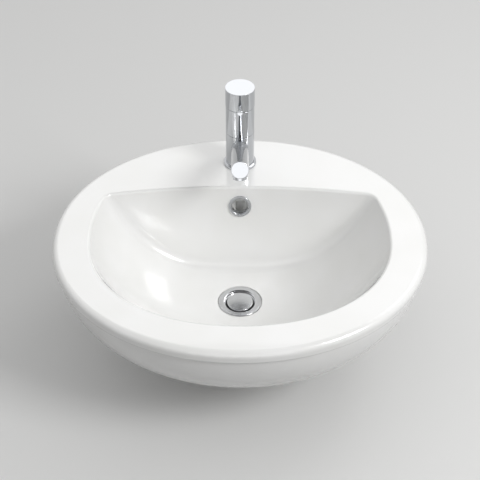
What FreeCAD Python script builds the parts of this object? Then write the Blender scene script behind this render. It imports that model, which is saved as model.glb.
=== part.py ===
import FreeCAD, Part
import math
import os
import Sketcher

# A semi recessed wash basin: an oval glazed ceramic basin that hangs in a worktop cut-out with its front
# third standing out before the worktop, a single lever mixer on its deck, a press-to-open waste and a
# chrome overflow insert.
#
# Frame: millimetres. +Z is up, +X is to the right of someone at the basin and -Y points at them. The
# origin is on the basin's mirror plane, at the worktop's surface, in the middle of the seat at the back.

# ---------------------------------------------------------------------------------------------------
# Driving dimensions, in millimetres and degrees
# ---------------------------------------------------------------------------------------------------

DIMENSIONS = [
    # The rim and the outside of the ceramic
    ("rim_width", 550, "rim from left to right"),
    ("rim_depth", 487, "rim from front to back"),
    ("rim_height", 18, "rim and deck, from the worktop to the top face"),
    ("rim_fullness", 2.05, "power of the rim's oval, where 2 is an ellipse"),
    ("rim_round", 9, "radius of the rim's top edge"),
    ("rim_under_round", 2.5, "radius of the rim's lower edge"),
    ("seat_width", 22, "overhang of the rim that rests on the worktop"),
    ("shoulder_ahead", 46, "from the rim's centre forward to the shoulder at the worktop's front edge"),
    ("belly_inset", 4, "step from the rim in to the belly"),
    ("belly_drop", 170, "from the worktop's surface down to the belly's lowest point"),
    ("belly_wall", 10, "ceramic of the belly"),
    ("skirt_wall", 12, "ceramic of the upright skirt in the cut-out"),
    ("recess_ahead", 100, "from the rim's centre back to the open recess under the deck"),
    ("deck_thickness", 15, "deck over that recess"),
    # The bowl
    ("mouth_width", 444, "bowl's mouth from left to right"),
    ("mouth_front", 189, "from the rim's centre to the front of the mouth"),
    ("mouth_back", 115, "from the rim's centre to the back of the mouth"),
    ("mouth_side_back", 230, "half depth that the sides of the mouth would close in at the back"),
    ("mouth_fullness", 2.15, "power of the mouth's oval"),
    ("mouth_round", 4, "radius of the mouth's edge"),
    ("back_bow", 1150, "radius of the back wall, seen from above"),
    ("back_slope", 13, "lean of the back wall from upright, in degrees"),
    ("bowl_depth", 142, "from the rim's top to the floor at the waste"),
    ("bowl_power", 3, "power of the bowl's fall from mouth to floor"),
    ("bowl_wall", 11, "ceramic of the bowl"),
    ("crease_round", 20, "radius between the back wall and the bowl"),
    # The holes in the ceramic
    ("waste_behind", 8, "from the rim's centre back to the waste"),
    ("waste_hole", 45, "bore of the outlet"),
    ("waste_boss", 68, "diameter of the boss under the outlet"),
    ("outlet_length", 48, "from the floor down to the boss's lower face"),
    ("flange_sink", 2.4, "depth of the round seat for the waste's flange"),
    ("countersink", 57, "top diameter of the cone that leads into the outlet"),
    ("countersink_depth", 7, "depth of that cone below its seat"),
    ("overflow_below", 33, "from the rim's top down to the overflow's centre, along the wall's plane"),
    ("overflow_hole", 28.6, "bore of the overflow's mouth"),
    ("overflow_boss", 38, "diameter of the boss behind the overflow's mouth"),
    ("duct_bore", 14, "bore of the overflow duct"),
    ("duct_wall", 7, "ceramic around that duct"),
    ("tap_hole", 35, "bore of the tap hole"),
    ("tap_setback", 65, "from the rim's back edge to the tap hole's centre"),
    # The waste
    ("flange_width", 66, "diameter of the waste's flange"),
    ("flange_lip", 1, "height of the flange above the floor"),
    ("flange_flat", 59, "inner diameter of the flange's flat rim"),
    ("flange_play", 1.5, "gap round the flange in its seat"),
    ("flange_edge", 1.2, "radius of the flange's edge"),
    ("flange_dish", 47, "diameter of the dish that the plug lies in"),
    ("dish_edge", 0.4, "from the floor down to the dish's upper edge"),
    ("dish_foot", 2.4, "from the floor down to the top of the plug's cone seat"),
    ("dish_end", 6.5, "from the floor down to the foot of that cone"),
    ("collar_width", 52.4, "diameter of the collar under the flange"),
    ("collar_top", 3.4, "from the floor down to the top of the collar's cone"),
    ("collar_end", 9, "from the floor down to the foot of the collar's cone"),
    ("waste_bore", 36.6, "bore of the waste's tube"),
    ("waste_thread", 41.9, "outside of the tube's pipe thread"),
    ("waste_length", 85, "from the floor to the lower end of the tube"),
    ("tail_length", 20, "length of the tube's lower thread, which the trap takes"),
    ("tail_groove", 2, "height of the turned groove above that thread"),
    ("tail_groove_depth", 1, "depth of that groove"),
    ("bridge_below", 44, "from the floor to the lower face of the bridge in the tube"),
    ("bridge_height", 6, "height of that bridge"),
    ("bridge_rib", 5, "thickness of the bridge's ribs"),
    ("bridge_hub", 18, "diameter of the bridge's hub"),
    ("bridge_hole", 8, "bore of the hub"),
    ("window_width", 12, "width of the overflow windows in the tube"),
    ("window_height", 14, "height of those windows"),
    ("window_below", 27, "from the floor to the windows' middle"),
    ("flange_seal_height", 1, "sealing ring under the flange"),
    ("flange_seal_bore", 57.4, "bore of that ring"),
    ("flange_seal_width", 65.6, "outside of that ring"),
    ("lower_seal_height", 4, "rubber seal under the ceramic"),
    ("lower_seal_width", 62, "outside of that seal"),
    ("slip_washer_height", 2, "plastic washer under the seal"),
    ("slip_washer_width", 60, "outside of that washer"),
    ("backnut_height", 8, "height of the back nut"),
    ("backnut_flats", 55, "width across the back nut's flats"),
    # The plug and its press-to-open unit
    ("plug_width", 40, "diameter of the plug's disc"),
    ("plug_height", 3.4, "thickness of the disc"),
    ("plug_stand", 0.2, "height of the shut plug's face above the floor"),
    ("plug_edge", 0.6, "radius of the disc's upper edge"),
    ("plug_neck", 28, "diameter of the neck that the plug's seal clips round"),
    ("plug_neck_height", 2.6, "height of that neck"),
    ("plug_foot", 32, "diameter of the flange below the neck"),
    ("plug_foot_height", 1.4, "height of that flange"),
    ("stem_width", 6.4, "diameter of the plug's stem"),
    ("stem_foot", 8.4, "diameter of the stem's foot"),
    ("stem_foot_height", 3, "height of that foot"),
    ("stem_length", 19.8, "length of the plug's stem below the plug"),
    ("clicker_width", 13, "outside of the press-to-open unit"),
    ("clicker_height", 26, "height of the unit above the bridge"),
    ("clicker_floor", 2, "thickness of the unit's floor and collar"),
    ("spring_wire", 0.9, "wire of the plug's spring"),
    ("spring_width", 7.6, "outside of the plug's spring"),
    ("spring_turns", 5, "turns of that spring"),
    # The overflow insert
    ("insert_width", 35, "outside of the overflow insert's ring"),
    ("insert_height", 2.4, "thickness of that ring"),
    ("insert_edge", 0.8, "radius of the ring's edges"),
    ("insert_dish", 27, "diameter of the step inside the ring"),
    ("insert_dish_depth", 1.6, "depth of that step"),
    ("insert_seat", 0.25, "gap between the ring and the curved wall"),
    ("insert_bore", 25.6, "bore of the insert"),
    ("insert_length", 9, "length of the insert's tube behind the wall's face"),
    # The mixer, with heights from the deck
    ("mixer_width", 44.2, "diameter of the mixer's body"),
    ("ring_width", 51, "diameter of the base ring"),
    ("ring_height", 5, "height of the base ring at its inner edge"),
    ("ring_side", 3.4, "height of the base ring at its outer edge"),
    ("ring_lip", 1, "thickness of the lip under the body"),
    ("ring_bore", 38, "bore of that lip"),
    ("gasket_height", 1, "thickness of the base gasket"),
    ("gasket_show", 0.4, "gap that the gasket keeps between ring and deck"),
    ("gasket_width", 47, "outside of the gasket"),
    ("gasket_play", 0.3, "gap round the gasket in the base ring"),
    ("body_joint", 61, "height of the joint between body and sleeve"),
    ("joint_gap", 0.4, "shadow gap at that joint"),
    ("sleeve_top", 109, "height of the sleeve's top"),
    ("sleeve_wall", 1.6, "wall of the sleeve"),
    ("neck_width", 40.4, "diameter of the body's neck inside the sleeve"),
    ("neck_top", 106, "height of the neck's top"),
    ("pocket_width", 35.6, "bore of the pocket for the cartridge"),
    ("pocket_floor", 70, "height of the pocket's floor"),
    ("inlet_spread", 17, "between the two inlets"),
    ("inlet_behind", 1, "inlets behind the mixer's axis"),
    ("inlet_thread", 9, "bore of an inlet's thread"),
    ("inlet_thread_length", 12, "length of an inlet's thread"),
    ("inlet_way", 7, "bore of the water way above the thread"),
    ("outlet_ahead", 10, "outlet way ahead of the mixer's axis"),
    ("outlet_way", 8, "bore of the outlet way"),
    # The spout
    ("spout_width", 26.4, "diameter of the spout"),
    ("spout_rise", 21, "rise of the spout, in degrees"),
    ("spout_root", 33.3, "height of the spout's axis at the mixer's axis"),
    ("spout_length", 141, "from the mixer's axis to the spout's end, along the spout"),
    ("spout_bore", 15, "bore of the spout"),
    ("spout_bore_start", 5, "from the mixer's axis to the start of that bore"),
    ("spout_cap", 4, "thickness of the spout's closed end"),
    ("spout_edge", 0.7, "radius of the spout's end edge"),
    ("aerator_back", 14.5, "from the spout's end to the aerator's axis"),
    ("aerator_boss", 22.4, "diameter of the boss that the aerator screws into"),
    ("aerator_seat", 13.9, "from the spout's axis to that boss's face"),
    ("aerator_thread", 18.4, "diameter of the aerator's thread"),
    ("aerator_pocket", 9, "from the spout's axis to the aerator's ledge"),
    ("aerator_way", 13, "bore above that ledge"),
    ("aerator_width", 20.6, "diameter of the aerator's collar"),
    ("aerator_height", 3.7, "height of that collar"),
    ("aerator_wall", 1.1, "wall of the aerator's housing"),
    ("aerator_mouth", 14.4, "opening in the aerator's lower end"),
    ("aerator_lip", 0.5, "thickness of the lip that holds the insert"),
    ("aerator_seal", 1.2, "thickness of the aerator's seal"),
    ("aerator_hole", 1.6, "side of the aerator's square holes"),
    ("aerator_pitch", 2.6, "pitch of those holes"),
    ("aerator_field", 12.4, "diameter of the field of holes"),
    # The cartridge
    ("pivot_height", 109.4, "height of the lever's pivot"),
    ("seal_height", 1, "thickness of the seals under the cartridge"),
    ("seal_width", 10.6, "outside of such a seal"),
    ("base_height", 8, "height of the cartridge's base"),
    ("cartridge_width", 35, "diameter of the cartridge"),
    ("disc_width", 30.4, "diameter of the fixed ceramic disc"),
    ("disc_height", 5.5, "thickness of a ceramic disc"),
    ("slider_width", 19, "diameter of the moving ceramic disc"),
    ("slider_hollow_width", 13, "diameter of the hollow in that disc"),
    ("slider_hollow", 2, "depth of that hollow"),
    ("film", 0.1, "gap between the two ceramic discs"),
    ("coupler_width", 18, "diameter of the moving disc's coupler"),
    ("coupler_height", 7, "height of that coupler"),
    ("ball_room", 0.5, "room under the ball in the coupler"),
    ("housing_top", 101, "height of the housing's shoulder"),
    ("housing_wall", 2, "wall and top of the housing"),
    ("housing_neck", 27, "diameter of the housing's neck"),
    ("housing_neck_top", 112, "height of that neck's top"),
    ("carrier_width", 22.4, "diameter of the turning lever carrier"),
    ("carrier_slot", 19.6, "length of the slot in that carrier"),
    ("carrier_below", 12, "carrier below the pivot"),
    ("carrier_above", 3.6, "carrier above the pivot"),
    ("pivot_pin", 3, "diameter of the pivot pin"),
    ("pivot_pin_length", 21, "length of that pin"),
    ("stem_side", 8, "lever stem, from front to back"),
    ("stem_thick", 7, "lever stem, from left to right"),
    ("stem_top", 137, "height of the lever stem's top"),
    ("stem_below", 4.5, "square part of the lever stem below the pivot"),
    ("arm_width", 4.4, "diameter of the stem's lower arm"),
    ("arm_length", 14, "from the pivot to the ball at the arm's end"),
    ("arm_ball", 5.2, "diameter of that ball"),
    ("nut_height", 4.6, "height of the nut that holds the cartridge"),
    ("nut_slot", 4, "width of the spanner slots in that nut"),
    ("dome_width", 33, "diameter of the dome under the handle"),
    ("dome_wall", 1.8, "wall of the dome"),
    ("dome_hole", 27, "hole in the dome's top"),
    ("dome_flange", 3, "height of the dome's flange"),
    ("dome_play", 0.4, "diameter of that flange over the neck's"),
    # The handle
    ("handle_width", 45.1, "diameter of the handle"),
    ("handle_gap", 0.8, "gap between sleeve and handle"),
    ("handle_top", 140.6, "height of the handle's top"),
    ("handle_edge", 0.6, "radius of the handle's top edge"),
    ("handle_socket", 34.8, "diameter of the hollow over the dome"),
    ("lever_lift", 22, "tilt of the handle from shut to full flow, in degrees"),
    ("lever_relief", 2, "slope of the handle's relief beyond the full tilt, in degrees"),
    ("pin_width", 8, "diameter of the pin lever"),
    ("pin_rise", 25, "rise of the pin lever, in degrees"),
    ("pin_root", 118.5, "height where the pin's axis leaves the handle"),
    ("pin_length", 48, "length of the pin outside the handle"),
    ("pin_spigot", 5, "diameter of the pin's threaded end"),
    ("pin_spigot_length", 4, "length of that end"),
    ("pin_sink", 2.5, "depth of the pin's shoulder in the handle"),
    ("pin_edge", 0.5, "radius of the pin's end edge"),
    ("grub_width", 5, "diameter of the handle's set screw"),
    ("grub_length", 10, "length of that screw"),
    ("grub_height", 132, "height of that screw"),
    ("grub_key", 2.5, "width across the screw's hexagon socket"),
    ("grub_key_depth", 3, "depth of that socket"),
    # The fixing under the deck
    ("stud_width", 8, "diameter of the fixing stud"),
    ("stud_behind", 12.5, "stud behind the mixer's axis"),
    ("stud_hold", 10, "length of the stud in the body"),
    ("stud_below", 36, "length of the stud under the deck"),
    ("clamp_width", 48, "diameter of the horseshoe plates"),
    ("clamp_slot", 27.6, "width of their slot"),
    ("clamp_slot_end", 6, "slot's end behind the mixer's axis"),
    ("clamp_rubber", 3, "thickness of the rubber horseshoe"),
    ("clamp_plate", 2, "thickness of the steel horseshoe"),
    ("stud_nut_height", 8, "height of the stud's nut"),
    ("stud_nut_flats", 13, "width across that nut's flats"),
    # Clearances
    ("thread_play", 0.1, "radial play between two threads"),
    ("slide_play", 0.3, "radial play of a piece that slides or turns in another"),
    ("pin_play", 0.05, "radial play of a hinge pin"),
    ("seal_play", 0.5, "level gap between the shut plug's seal and its seat"),
]


class Size:
    """A length or angle: its number, and the words that tie a property to the sheet."""

    def __init__(self, value, words):
        self.value = value
        self.words = words

    def __add__(self, other):
        return joined(self, "+", other)

    def __radd__(self, other):
        return joined(other, "+", self)

    def __sub__(self, other):
        return joined(self, "-", other)

    def __rsub__(self, other):
        return joined(other, "-", self)

    def __mul__(self, other):
        return joined(self, "*", other)

    def __rmul__(self, other):
        return joined(other, "*", self)

    def __truediv__(self, other):
        return joined(self, "/", other)

    def __rtruediv__(self, other):
        return joined(other, "/", self)

    def __neg__(self):
        return joined(0, "-", self)


def number(size):
    return size.value if isinstance(size, Size) else float(size)


def words(size):
    return size.words if isinstance(size, Size) else f"({float(size)!r})"


def joined(left, sign, right):
    a, b = number(left), number(right)
    value = {"+": a + b, "-": a - b, "*": a * b, "/": a / b if b else 0.0}[sign]
    return Size(value, f"({words(left)} {sign} {words(right)})")


def sine(angle):
    return Size(math.sin(math.radians(number(angle))), f"sin({words(angle)})")


def cosine(angle):
    return Size(math.cos(math.radians(number(angle))), f"cos({words(angle)})")


def tangent(angle):
    return sine(angle) / cosine(angle)


doc = FreeCAD.newDocument("basin")
sheet = doc.addObject("Spreadsheet::Sheet", "sizes")


class Sheet:
    """The driving dimensions by name: at.rim_width, at.rim_depth and so on."""


at = Sheet()
for row, (alias, value, meaning) in enumerate(DIMENSIONS, start=1):
    sheet.set(f"A{row}", meaning)
    sheet.set(f"B{row}", str(value))
    sheet.setAlias(f"B{row}", alias)
    setattr(at, alias, Size(float(value), f"sizes.{alias}"))
doc.recompute()

# Places that many pieces share
rim_y = at.seat_width / 2 - at.rim_depth / 2
deck_z = at.rim_height
floor_z = at.rim_height - at.bowl_depth
waste_y = rim_y + at.waste_behind
mixer_y = rim_y + at.rim_depth / 2 - at.tap_setback
pivot_z = deck_z + at.pivot_height

# A box, cylinder or plane that only has to reach past the part is this long
PAST_ALL = 400.0
SKETCH_X = FreeCAD.Vector(1, 0, 0)
UP = FreeCAD.Vector(0, 0, 1)

finished = []


# ---------------------------------------------------------------------------------------------------
# Helpers
# ---------------------------------------------------------------------------------------------------

def bind(thing, name, size):
    """Give a property its number and, where it comes from the sheet, tie it there."""
    if isinstance(size, Size):
        thing.setExpression(name, size.words)
    elif "." not in name:
        setattr(thing, name, float(size))


def place(thing, x=0, y=0, z=0, turn=0, about=SKETCH_X):
    """Put an object at x, y, z, turned about one axis."""
    thing.Placement = FreeCAD.Placement(
        FreeCAD.Vector(number(x), number(y), number(z)), FreeCAD.Rotation(about, number(turn)))
    for letter, size in (("x", x), ("y", y), ("z", z)):
        bind(thing, f"Placement.Base.{letter}", size)
    bind(thing, "Placement.Rotation.Angle", turn)
    return thing


def cylinder(name, width, height, **where):
    item = doc.addObject("Part::Cylinder", name)
    bind(item, "Radius", width / 2)
    bind(item, "Height", height)
    return place(item, **where)


def cone(name, low_width, high_width, height, **where):
    item = doc.addObject("Part::Cone", name)
    bind(item, "Radius1", low_width / 2)
    bind(item, "Radius2", high_width / 2)
    bind(item, "Height", height)
    return place(item, **where)


def sphere(name, width, **where):
    item = doc.addObject("Part::Sphere", name)
    bind(item, "Radius", width / 2)
    return place(item, **where)


def block(name, length, width, height, **where):
    """A box that grows from its corner along its own axes."""
    item = doc.addObject("Part::Box", name)
    bind(item, "Length", length)
    bind(item, "Width", width)
    bind(item, "Height", height)
    return place(item, **where)


def hexagon(name, flats, height, **where):
    item = doc.addObject("Part::Prism", name)
    item.Polygon = 6
    bind(item, "Circumradius", flats / 2 / cosine(30))
    bind(item, "Height", height)
    return place(item, **where)


def fuse(name, *items):
    item = doc.addObject("Part::MultiFuse", name)
    item.Shapes = list(items)
    item.Refine = False
    return item


def cut(name, base, *tools):
    """Take the tools away from the base, one after the other."""
    for step, tool in enumerate(tools, start=1):
        item = doc.addObject("Part::Cut", name if step == len(tools) else f"{name}_{step}")
        item.Base = base
        item.Tool = tool
        item.Refine = False
        base = item
    return base


def common(name, first, second):
    item = doc.addObject("Part::Common", name)
    item.Base = first
    item.Tool = second
    item.Refine = False
    return item


def group(name, *items):
    """Several separate solids that share one node."""
    item = doc.addObject("Part::Compound", name)
    item.Links = list(items)
    return item


def form(name, shape):
    """A free form that no primitive or sketch makes."""
    item = doc.addObject("Part::Feature", name)
    item.Shape = shape
    return item


def finish(item, label):
    """Name a sub-part. Its label is its node and its file."""
    item.Label = label
    finished.append(item)
    return item


def turned(name, profile, **where):
    """A turned piece: corners (radius, height) of its half section, spun about its own upright axis."""
    body = doc.addObject("PartDesign::Body", name)
    upright = [plane for plane in body.Origin.OriginFeatures if plane.Role == "XZ_Plane"][0]
    sketch = body.newObject("Sketcher::SketchObject", f"{name}_section")
    sketch.AttachmentSupport = [(upright, "")]
    sketch.MapMode = "FlatFace"
    ends = [FreeCAD.Vector(number(radius), number(height), 0) for radius, height in profile]
    for start, end in zip(ends, ends[1:] + ends[:1]):
        sketch.addGeometry(Part.LineSegment(start, end), False)
    for line in range(len(profile)):
        following = (line + 1) % len(profile)
        sketch.addConstraint(Sketcher.Constraint("Coincident", line, 2, following, 1))
    for line, corner in enumerate(profile):
        for kind, size in zip(("DistanceX", "DistanceY"), corner):
            entry = sketch.addConstraint(Sketcher.Constraint(kind, -1, 1, line, 1, number(size)))
            if isinstance(size, Size):
                sketch.setExpression(f"Constraints[{entry}]", size.words)
    spin = body.newObject("PartDesign::Revolution", f"{name}_spin")
    spin.Profile = sketch
    spin.ReferenceAxis = (sketch, ["V_Axis"])
    spin.Angle = 360
    sketch.Visibility = False
    return place(body, **where)


def rounded(body, radius, *rings):
    """Round the circular edges of a turned piece that lie at these (radius, height) places."""
    doc.recompute()
    base = body.Tip
    names = []
    for index, edge in enumerate(base.Shape.Edges, start=1):
        if edge.Curve.TypeId != "Part::GeomCircle":
            continue
        for ring, height in rings:
            if (abs(edge.Curve.Radius - number(ring)) < 0.01
                    and abs(edge.Curve.Center.z - number(height)) < 0.01):
                names.append(f"Edge{index}")
    edges = body.newObject("PartDesign::Fillet", f"{body.Name}_round")
    edges.Base = (base, names)
    bind(edges, "Radius", radius)
    body.Tip = edges
    return body


# ---------------------------------------------------------------------------------------------------
# The ceramic
# ---------------------------------------------------------------------------------------------------

OVAL_POINTS = 24


def oval(half_width, front, back, power, centre_y, z):
    """A closed outline: |x / half_width|^power + |y / front or back|^power = 1 about the centre."""
    points = []
    for step in range(OVAL_POINTS):
        angle = 2 * math.pi * step / OVAL_POINTS - math.pi / 2
        across, along = math.cos(angle), math.sin(angle)
        x = half_width * math.copysign(abs(across) ** (2 / power), across)
        reach = front if along < 0 else back
        y = reach * math.copysign(abs(along) ** (2 / power), along)
        points.append(FreeCAD.Vector(x, centre_y + y, z))
    curve = Part.BSplineCurve()
    curve.interpolate(points, PeriodicFlag=True)
    return Part.Wire(curve.toShape())


def upright_oval(inset, low, high):
    """The rim's oval, smaller by inset, as a solid from height low to height high."""
    outline = oval(
        at.rim_width.value / 2 - inset, at.rim_depth.value / 2 - inset, at.rim_depth.value / 2 - inset,
        at.rim_fullness.value, rim_y.value, low)
    return Part.Face(outline).extrude(UP * (high - low))


def belly_form(wall):
    """The belly: an ellipsoid, smaller by wall all round, from just inside the rim to its lowest point."""
    half_width = at.rim_width.value / 2 - at.belly_inset.value - wall
    half_depth = at.rim_depth.value / 2 - at.belly_inset.value - wall
    drop = at.belly_drop.value - wall
    outlines = []
    for degrees in (-3, 8, 20, 32, 44, 56, 67, 77, 84):
        shrink, fall = math.cos(math.radians(degrees)), math.sin(math.radians(degrees))
        outlines.append(oval(
            half_width * shrink, half_depth * shrink, half_depth * shrink, at.rim_fullness.value,
            rim_y.value, -drop * fall))
    return Part.makeLoft(outlines, True, False)


def bowl_form(wall, top_share):
    """The scoop of the bowl, larger by wall all round: its outline shrinks about the waste as it falls."""
    half_width = at.mouth_width.value / 2
    depth, power = at.bowl_depth.value, at.bowl_power.value
    levels = 11
    least = 0.12
    outlines = []
    for level in range(levels):
        share = top_share + (least - top_share) * level / (levels - 1)
        slope = math.atan(power * depth * share ** (power - 1) / half_width)
        grow = wall * math.sin(slope)
        fall = depth * (1 - share ** power) + wall * math.cos(slope)
        outlines.append(oval(
            half_width * share + grow, at.mouth_front.value * share + grow,
            at.mouth_side_back.value * share + grow, at.mouth_fullness.value,
            rim_y.value + at.waste_behind.value * (1 - share), at.rim_height.value - fall))
    return Part.makeLoft(outlines, True, False)


def back_wall(name, wall):
    """A wide leaning cylinder. Its back face is the bowl's back wall, moved back by wall."""
    radius = at.back_bow + wall
    item = cylinder(
        name, radius * 2, 2 * PAST_ALL, turn=-at.back_slope,
        y=rim_y + at.mouth_back - at.back_bow / cosine(at.back_slope) - PAST_ALL * sine(at.back_slope),
        z=deck_z - PAST_ALL * cosine(at.back_slope))
    return item


def on_back_wall(below, behind):
    """A point on the mirror plane: below the rim along the back wall, and behind its face."""
    y = rim_y + at.mouth_back - below * sine(at.back_slope) + behind * cosine(at.back_slope)
    z = deck_z - below * cosine(at.back_slope) - behind * sine(at.back_slope)
    return y, z


def overflow_duct(name, width, reach):
    """The overflow's way: down behind the back wall, round an elbow and forward to the outlet."""
    behind = at.bowl_wall + at.duct_bore / 2
    top_y, top_z = on_back_wall(at.overflow_below, behind)
    low_z = floor_z - at.window_below
    fall = (top_z - low_z) / cosine(at.back_slope)
    elbow_y = top_y - fall * sine(at.back_slope)
    down = cylinder(f"{name}_down", width, fall, y=elbow_y, z=low_z, turn=-at.back_slope)
    elbow = sphere(f"{name}_elbow", width, y=elbow_y, z=low_z)
    forward = cylinder(f"{name}_forward", width, elbow_y - waste_y - reach, y=elbow_y, z=low_z, turn=90)
    return fuse(name, down, elbow, forward)


def edges_between(shape, first_kind, second_kind):
    """Edges of a shape where a face of one kind of surface meets a face of another kind."""
    found = []
    for edge in shape.Edges:
        kinds = [face.Surface.TypeId for face in shape.ancestorsOfType(edge, Part.Face)]
        if sorted(kinds) == sorted((first_kind, second_kind)):
            found.append(edge)
    return found


def make_basin():
    # The rim and deck: one flat slab with a soft upper edge
    slab = upright_oval(0, 0, at.rim_height.value)
    upper = [edge for edge in slab.Edges if edge.BoundBox.ZMin > at.rim_height.value - 0.01]
    slab = slab.makeFillet(at.rim_round.value, upper)
    lower = [edge for edge in slab.Edges if edge.BoundBox.ZMax < 0.01]
    slab = form("slab", slab.makeFillet(at.rim_under_round.value, lower))

    # The belly shows in front. Behind the shoulder it steps in to an upright skirt, so that the rim
    # rests on the worktop there. A boss stands out below, round the outlet.
    boss = cylinder("outlet_boss", at.waste_boss, at.outlet_length - at.bowl_wall / 2,
                    y=waste_y, z=floor_z - at.outlet_length)
    outside = fuse("outside", fuse("slab_belly", slab, form("belly", belly_form(0))), boss)
    skirt = form("skirt", upright_oval(at.seat_width.value, -PAST_ALL, 1))
    behind = block("behind_shoulder", 2 * PAST_ALL, 2 * PAST_ALL, PAST_ALL,
                   x=-PAST_ALL, y=rim_y - at.shoulder_ahead, z=-PAST_ALL)
    step = cut("step", behind, skirt)

    # What stands in the hollow: the bowl, the boss, the overflow's duct and the boss behind its mouth
    bowl = common("bowl", form("bowl_outside", bowl_form(at.bowl_wall.value, 0.985)),
                  back_wall("back_outside", at.bowl_wall))
    duct = overflow_duct("duct", at.duct_bore + 2 * at.duct_wall, at.waste_hole / 2)
    mouth_y, mouth_z = on_back_wall(at.overflow_below, at.bowl_wall / 2)
    mouth_boss = cylinder("overflow_boss", at.overflow_boss, at.bowl_wall / 2 + at.duct_bore,
                          y=mouth_y, z=mouth_z, turn=-90 - at.back_slope)
    core = fuse("core", fuse("bowl_duct", fuse("bowl_boss", bowl, boss), duct), mouth_boss)

    # The belly is hollow round that core, and open below the deck at the back
    inner = at.seat_width.value + at.skirt_wall.value
    ceiling = at.rim_height.value - at.deck_thickness.value
    hollow = common("hollow_whole", form("belly_inside", belly_form(at.belly_wall.value)),
                    form("skirt_inside", upright_oval(inner, -PAST_ALL, ceiling)))
    recess = common(
        "recess_whole", form("recess_outline", upright_oval(inner, -PAST_ALL, ceiling)),
        block("recess_part", 2 * PAST_ALL, PAST_ALL, PAST_ALL + at.rim_height,
              x=-PAST_ALL, y=rim_y + at.recess_ahead, z=-PAST_ALL))
    hollow = cut("hollow", hollow, core)
    recess = cut("recess", recess, core)

    # The bowl's own hollow, with its crease rounded
    raw = common("bowl_raw", form("bowl_inside", bowl_form(0, 1.03)), back_wall("back_inside", 0))
    doc.recompute()
    crease = edges_between(raw.Shape, "Part::GeomBSplineSurface", "Part::GeomCylinder")
    bowl_hollow = form("bowl_hollow", raw.Shape.makeFillet(at.crease_round.value, crease))

    # The outlet, its seat and cone, the overflow and the tap hole
    outlet = cylinder("outlet", at.waste_hole, 2 * at.outlet_length, y=waste_y,
                      z=floor_z - at.outlet_length * 1.5)
    seat = cylinder("outlet_seat", at.flange_width + 2 * at.flange_play, 2 * at.flange_sink, y=waste_y,
                    z=floor_z - at.flange_sink)
    lead = cone("outlet_cone", at.waste_hole, at.countersink, at.countersink_depth, y=waste_y,
                z=floor_z - at.flange_sink - at.countersink_depth)
    duct_bore = overflow_duct("duct_bore", at.duct_bore, at.waste_hole / 4)
    hole_y, hole_z = on_back_wall(at.overflow_below, -at.bowl_wall)
    overflow = cylinder("overflow", at.overflow_hole, 2 * at.bowl_wall + at.duct_bore / 2,
                        y=hole_y, z=hole_z, turn=-90 - at.back_slope)
    tap = cylinder("tap", at.tap_hole, 3 * at.rim_height, y=mixer_y, z=-at.rim_height)
    pierced = cut("pierced", outside, step, hollow, recess, bowl_hollow, outlet, seat, lead, duct_bore,
                  overflow, tap)
    doc.recompute()

    # The soft edge of the mouth
    top = at.rim_height.value
    mouth = []
    for index, edge in enumerate(pierced.Shape.Edges, start=1):
        box = edge.BoundBox
        level = box.ZMin > top - 0.01 and box.ZMax < top + 0.01
        inside = (
            box.XMax < at.mouth_width.value / 2 + at.rim_round.value
            and box.YMin > rim_y.value - at.mouth_front.value - at.rim_round.value
            and box.YMax < mixer_y.value - at.tap_hole.value / 2)
        if level and inside:
            mouth.append((index, at.mouth_round.value, at.mouth_round.value))
    basin = doc.addObject("Part::Fillet", "basin")
    basin.Base = pierced
    basin.Edges = mouth
    finish(basin, "basin")


def make_overflow_insert():
    # Its axis stands square on the back wall
    y, z = on_back_wall(at.overflow_below, 0)
    face = at.insert_seat + at.insert_height
    tube = at.overflow_hole / 2 - at.slide_play
    ring = turned("overflow_ring", [
        (at.insert_bore / 2, -at.insert_length), (tube, -at.insert_length), (tube, at.insert_seat),
        (at.insert_width / 2, at.insert_seat), (at.insert_width / 2, face), (at.insert_dish / 2, face),
        (at.insert_dish / 2, face - at.insert_dish_depth), (at.insert_bore / 2, face - at.insert_dish_depth),
    ], y=y, z=z, turn=90 - at.back_slope)
    finish(rounded(ring, at.insert_edge, (at.insert_width / 2, face), (at.insert_dish / 2, face)),
           "overflow_ring")


# ---------------------------------------------------------------------------------------------------
# The waste: its heights count from the bowl's floor
# ---------------------------------------------------------------------------------------------------

def washer(name, bore, width, low, height, **where):
    """A plain ring from height low up."""
    return turned(name, [(bore / 2, low), (width / 2, low), (width / 2, low + height),
                         (bore / 2, low + height)], **where)


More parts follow.
